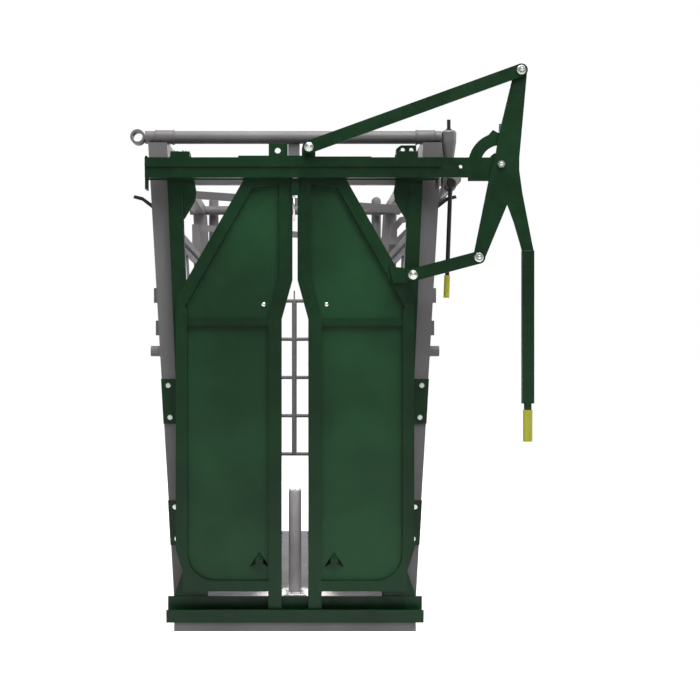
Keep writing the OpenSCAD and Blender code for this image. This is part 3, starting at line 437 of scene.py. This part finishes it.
# ---- Stop studs and caps ----
rail_low, rail_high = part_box("gate_rear_rail")
STUD_R = 5.5
for k, x in enumerate((570 * MM, 592 * MM)):
    turned(f"door_stop_stud_{k + 1}", Vector((x, rail_high.y + STUD_R * MM, rail_low.z - 36 * MM)), Z,
           [(0, 0.4), (0, STUD_R - 1), (1, STUD_R), (62, STUD_R), (63, STUD_R - 1), (63, 0.4)],
           "frame", "black_parts")
tube_low, tube_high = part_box("rear_cross_tube")
tube_y = (tube_low.y + tube_high.y) / 2
TUBE_R, COLLAR_R = 26 * MM, 29.5 * MM
rear_tube_z = tube_low.z + TUBE_R
tube_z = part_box("top_tube")[1].z - COLLAR_R
CAP = [(-14, 0.4), (-14, 20.6), (-1, 20.9), (0, 25.6), (2.5, 25.6), (4.5, 23), (5.2, 16), (5.5, 0.4)]
for side, label in DOORS:
    end = tube_high.x if side > 0 else tube_low.x
    turned(f"{label}_tube_cap", Vector((end, tube_y, rear_tube_z)), side * X, CAP, "frame", "black_parts")

# ---- Weld beads ----
top_low, top_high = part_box("top_tube")
front_tube_y = (top_low.y + top_high.y) / 2
SADDLE_ENDS = (-64 * MM, 8 * MM)    # from the post's centre line, outwards
saddles = [(Vector((side * (post_x(tube_z) + d), front_tube_y, tube_z)), X, TUBE_R + 1.2 * MM)
           for side in (LEFT, RIGHT) for d in SADDLE_ENDS]
weld_circles("top_tube_saddle_welds", saddles, "frame", "grey_enamel")
brisket_low, brisket_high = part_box("brisket_post")
brisket = Vector((0, (brisket_low.y + brisket_high.y) / 2, brisket_low.z + 9.5 * MM))
weld_circles("brisket_post_weld", [(brisket, Z, 27 * MM)], "frame", "grey_enamel")
stub_z = joint_place("lever_swing").z + 30 * MM - 764 * MM
STUB_R = 21.5 * MM
weld_circles("post_stub_welds", [
    (Vector((side * (post_x(stub_z) + POST_W / 2 + 0.5 * MM), front_tube_y, stub_z)), X, STUB_R)
    for side in (LEFT, RIGHT)], "frame", "grey_enamel")

# Gate posts: gusset and bracket seams on the front face
gate_post_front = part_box("gate_post_right")[0].y
beam_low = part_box("gate_beam")[0]
gusset_low = beam_low.z - 150 * MM
post_seams = []
for side in (LEFT, RIGHT):
    inner = lambda z: side * (gate_post_x(z) - GATE_POST_W / 2)
    post_seams.append(((inner(gusset_low), gate_post_front, gusset_low),
                       (inner(beam_low.z), gate_post_front, beam_low.z)))
weld_lines("gate_post_gusset_welds", post_seams, "frame", "green_enamel")
bracket_low, bracket_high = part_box("side_brackets")
BRACKET_H = 181 * MM
bracket_seams = []
for side in (LEFT, RIGHT):
    for foot in (bracket_low.z, bracket_high.z - BRACKET_H):
        outer = lambda z: side * (gate_post_x(z) + GATE_POST_W / 2 + 1.5 * MM)
        bracket_seams.append(((outer(foot), bracket_low.y - 0.5 * MM, foot + 4 * MM),
                              (outer(foot + BRACKET_H), bracket_low.y - 0.5 * MM, foot + BRACKET_H - 4 * MM)))
weld_lines("side_bracket_welds", bracket_seams, "frame", "green_enamel")

# Doors: where the rib meets the uprights
NECK_HALF, NECK_BAR, DOOR_TUBE = 53 * MM, 53 * MM, 46 * MM
rib_z = 1210 * MM
RIB_H = 28 * MM
rib_y = door_low.y + 10 * MM + 6 * MM
for side, label in DOORS:
    inner = side * (NECK_HALF + NECK_BAR)
    outer = side * (door_high.x - DOOR_TUBE)
    seams = []
    for x in (inner, outer):
        seams.append(((x, rib_y + 1 * MM, rib_z), (x, rib_y + 1 * MM, rib_z + RIB_H)))
    weld_lines(f"{label}_door_rib_welds", seams, f"{label}_door", "green_enamel")

# Hand lever: the plate is welded round the square bar's top
handle_low, handle_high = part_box("hand_lever")
handle_seams = [((x, handle_low.y + 0.5 * MM, handle_high.z - 0.5 * MM),
                 (x, handle_high.y - 0.5 * MM, handle_high.z - 0.5 * MM))
                for x in (handle_low.x + 2 * MM, handle_high.x - 2 * MM)]
handle_seams += [((handle_low.x + 3 * MM, y, handle_high.z), (handle_high.x - 3 * MM, y, handle_high.z))
                 for y in (handle_low.y + 1 * MM, handle_high.y - 1 * MM)]
weld_lines("hand_lever_welds", handle_seams, "lever", "green_enamel")

# Squeeze shaft: each crank's hub
shaft = joint_place("squeeze_turn")
SHAFT_R, CRANK_Y, HUB_OUT = 17 * MM, 700 * MM, 12 * MM
hubs = []
for y in (-CRANK_Y, CRANK_Y):
    hubs += [(Vector((shaft.x, y + d, shaft.z)), Y, SHAFT_R + 1 * MM) for d in (-HUB_OUT, 10 * MM + HUB_OUT)]
weld_circles("crank_hub_welds", hubs, "squeeze_gear", "grey_enamel")

# Tailgate: each bar's ends
gate_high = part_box("tailgate")[1]
leaf_y = joint_place("tailgate_swing").y
LEAF_TUBE = 32 * MM
hinge_x = joint_place("tailgate_swing").x
leaf_x0, leaf_x1 = hinge_x + 26 * MM, gate_high.x
LEAF_TOP, BAR_PITCH, BAR_COUNT, BAR_R = 1438 * MM, 226 * MM, 5, 10.5 * MM
ends = [(Vector((x, leaf_y, LEAF_TOP - 11 * MM - k * BAR_PITCH)), X, BAR_R)
        for k in range(BAR_COUNT) for x in (leaf_x0 + LEAF_TUBE, leaf_x1 - LEAF_TUBE)]
weld_circles("tailgate_bar_welds", ends, "tailgate", "grey_enamel")

# ---- Floor, light and camera ----
floor_mesh = bpy.data.meshes.new("floor")
FLOOR_HALF = 300
floor_mesh.from_pydata([(-FLOOR_HALF, -FLOOR_HALF, 0), (FLOOR_HALF, -FLOOR_HALF, 0),
                        (FLOOR_HALF, FLOOR_HALF, 0), (-FLOOR_HALF, FLOOR_HALF, 0)], [], [(0, 1, 2, 3)])
floor = bpy.data.objects.new("floor", floor_mesh)
floor.location.z = box_at_start[0][2] - 0.5 * MM
bpy.context.scene.collection.objects.link(floor)
floor_paint = bpy.data.materials.new("matt white studio floor")
floor_paint.use_nodes = True
for socket, value in {"Base Color": hex_colour("#F4F4F3"), "Roughness": 0.9, "Specular IOR Level": 0.1,
                      "Emission Color": hex_colour("#FFFFFF"), "Emission Strength": 0.86}.items():
    floor_paint.node_tree.nodes["Principled BSDF"].inputs[socket].default_value = value
floor_mesh.materials.append(floor_paint)
floor.visible_diffuse = False         # the white floor throws no light up under the chute

# The room is white to look at and a soft grey to be lit by
world = bpy.data.worlds.new("pale studio")
bpy.context.scene.world = world
world.use_nodes = True
room = world.node_tree
room.nodes.clear()
seen = add(room, "LightPath").outputs["Is Camera Ray"]
soft = add(room, "Background", inputs={"Color": hex_colour("#DDE0E2"), "Strength": 0.30})
white = add(room, "Background", inputs={"Color": hex_colour("#FFFFFF"), "Strength": 1.0})
either = add(room, "MixShader", inputs={0: seen, 1: soft.outputs[0], 2: white.outputs[0]})
add(room, "OutputWorld", inputs={"Surface": either.outputs[0]})


def softbox(name, place, target, size, power):
    """A square soft light that faces a point."""
    lamp = bpy.data.lights.new(name, "AREA")
    lamp.size = size
    lamp.energy = power
    stand = bpy.data.objects.new(name, lamp)
    stand.location = place
    stand.rotation_euler = (Vector(target) - Vector(place)).to_track_quat("-Z", "Y").to_euler()
    stand.visible_camera = False
    bpy.context.scene.collection.objects.link(stand)


CHEST = (0, 0, 1.0)
softbox("high front light", (1.3, -3.6, 5.4), CHEST, 2.8, 130)
softbox("left side light", (-5.5, -2.6, 2.6), CHEST, 2.6, 60)
softbox("right side light", (5.5, 0.5, 3.2), CHEST, 3.0, 95)
softbox("rear light", (0.0, 6.0, 4.2), CHEST, 3.5, 120)
softbox("overhead light", (0, -2.2, 6.5), CHEST, 4.0, 225)
spot = bpy.data.lights.new("narrow light on the brisket post", "SPOT")
spot.energy, spot.spot_size, spot.spot_blend, spot.shadow_soft_size = 380, math.radians(14), 0.6, 0.03
spot_stand = bpy.data.objects.new(spot.name, spot)
spot_stand.location = (0, -1.1, 1.55)
spot_aim = Vector((0, -0.93, 0.3)) - spot_stand.location
spot_stand.rotation_euler = spot_aim.to_track_quat("-Z", "Y").to_euler()
bpy.context.scene.collection.objects.link(spot_stand)

LENS_REACH = 4.93                    # from the beam's front to the eye
EYE_UP = 1.064
IMAGE_SIDE, FOCAL = 700, 1249        # image side and focal length in the same unit
ASIDE, ABOVE = 55, 12.4              # the gate's centre line and eye level from the image's middle
camera_data = bpy.data.cameras.new("camera")
camera_data.sensor_width = 36
camera_data.lens = camera_data.sensor_width * FOCAL / IMAGE_SIDE
camera_data.shift_x = ASIDE / IMAGE_SIDE
camera_data.shift_y = ABOVE / IMAGE_SIDE
camera_data.clip_end = 1000
camera = bpy.data.objects.new("camera", camera_data)
camera.location = (0, beam_low.y - LENS_REACH, EYE_UP)
camera.rotation_euler = (math.radians(90), 0, 0)
bpy.context.scene.collection.objects.link(camera)
bpy.context.scene.camera = camera
bpy.context.scene.view_settings.view_transform = "Standard"
